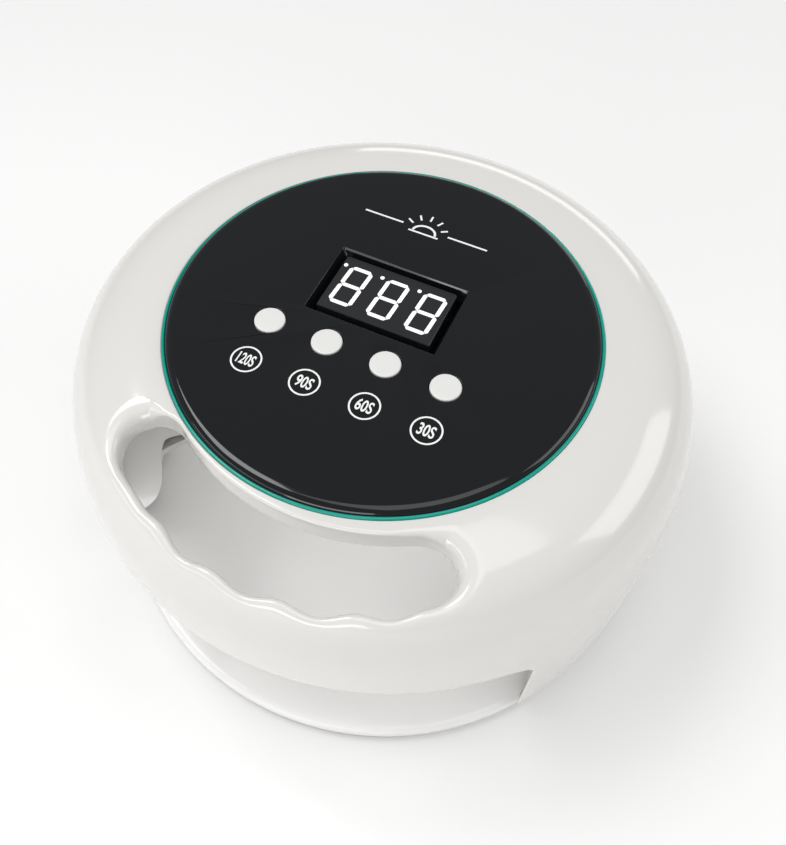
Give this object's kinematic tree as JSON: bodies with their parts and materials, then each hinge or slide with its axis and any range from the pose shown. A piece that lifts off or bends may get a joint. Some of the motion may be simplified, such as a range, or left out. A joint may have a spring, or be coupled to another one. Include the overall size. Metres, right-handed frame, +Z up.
{
  "type": "uv curing lamp",
  "caption": "Round domed desk lamp for hardening light-curing gel, with a carrying grip over the hand opening, a round control panel and a lift-off base.",
  "frame": {"origin": "middle of the underside, on the desk surface the feet stand on", "axes": "+Z up; -Y is the front with the grip and the hand opening; +X is the user's right"},
  "size_m": [0.1932, 0.1883, 0.1072],
  "materials": {
    "gloss_white": "glossy",
    "base_white": "satin",
    "liner_white": "satin",
    "ring_teal": "glossy",
    "panel_black": "piano black",
    "display_face": "satin",
    "key_white": "matte",
    "component_black": "matte",
    "board_green": "solder mask",
    "light_board": "solder mask",
    "steel": "plated",
    "magnet_nickel": "nickel plated",
    "foot_rubber": "matte",
    "cable_red": "matte"
  },
  "bodies": {
    "base": {"base_plate": "base_white", "foot_front_left": "foot_rubber", "foot_front_right": "foot_rubber", "foot_back_left": "foot_rubber", "foot_back_right": "foot_rubber", "strike_left": "steel", "strike_right": "steel", "strike_back": "steel"},
    "housing": {"top_shell": "gloss_white", "grip_cover": "gloss_white", "inner_liner": "liner_white", "accent_ring": "ring_teal", "control_panel": "panel_black", "display_module": "display_face", "switch_120s": "component_black", "switch_90s": "component_black", "switch_60s": "component_black", "switch_30s": "component_black", "control_board": "board_green", "buzzer": "component_black", "driver_board": "board_green", "led_board_top": "light_board", "led_board_left": "light_board", "led_board_right": "light_board", "led_board_back": "light_board", "hand_sensor": "component_black", "dc_jack": "component_black", "screw_front_left": "steel", "screw_front_right": "steel", "screw_back_left": "steel", "screw_back_right": "steel", "magnet_left": "magnet_nickel", "magnet_right": "magnet_nickel", "magnet_back": "magnet_nickel", "inlet_lead": "cable_red", "control_lead": "cable_red", "light_lead": "cable_red"},
    "key_120": {"key_120s": "key_white"},
    "key_90": {"key_90s": "key_white"},
    "key_60": {"key_60s": "key_white"},
    "key_30": {"key_30s": "key_white"}
  },
  "joints": [
    {"name": "housing_lift", "type": "slide", "parent": "base", "child": "housing", "axis": [0, 0, 1], "range_m": [0, 0.06]},
    {"name": "press_120", "type": "slide", "parent": "housing", "child": "key_120", "axis": [0, 0, -1], "range_m": [0, 0.0006], "stiffness_N_per_m": 2000},
    {"name": "press_90", "type": "slide", "parent": "housing", "child": "key_90", "axis": [0, 0, -1], "range_m": [0, 0.0006], "stiffness_N_per_m": 2000},
    {"name": "press_60", "type": "slide", "parent": "housing", "child": "key_60", "axis": [0, 0, -1], "range_m": [0, 0.0006], "stiffness_N_per_m": 2000},
    {"name": "press_30", "type": "slide", "parent": "housing", "child": "key_30", "axis": [0, 0, -1], "range_m": [0, 0.0006], "stiffness_N_per_m": 2000}
  ]
}
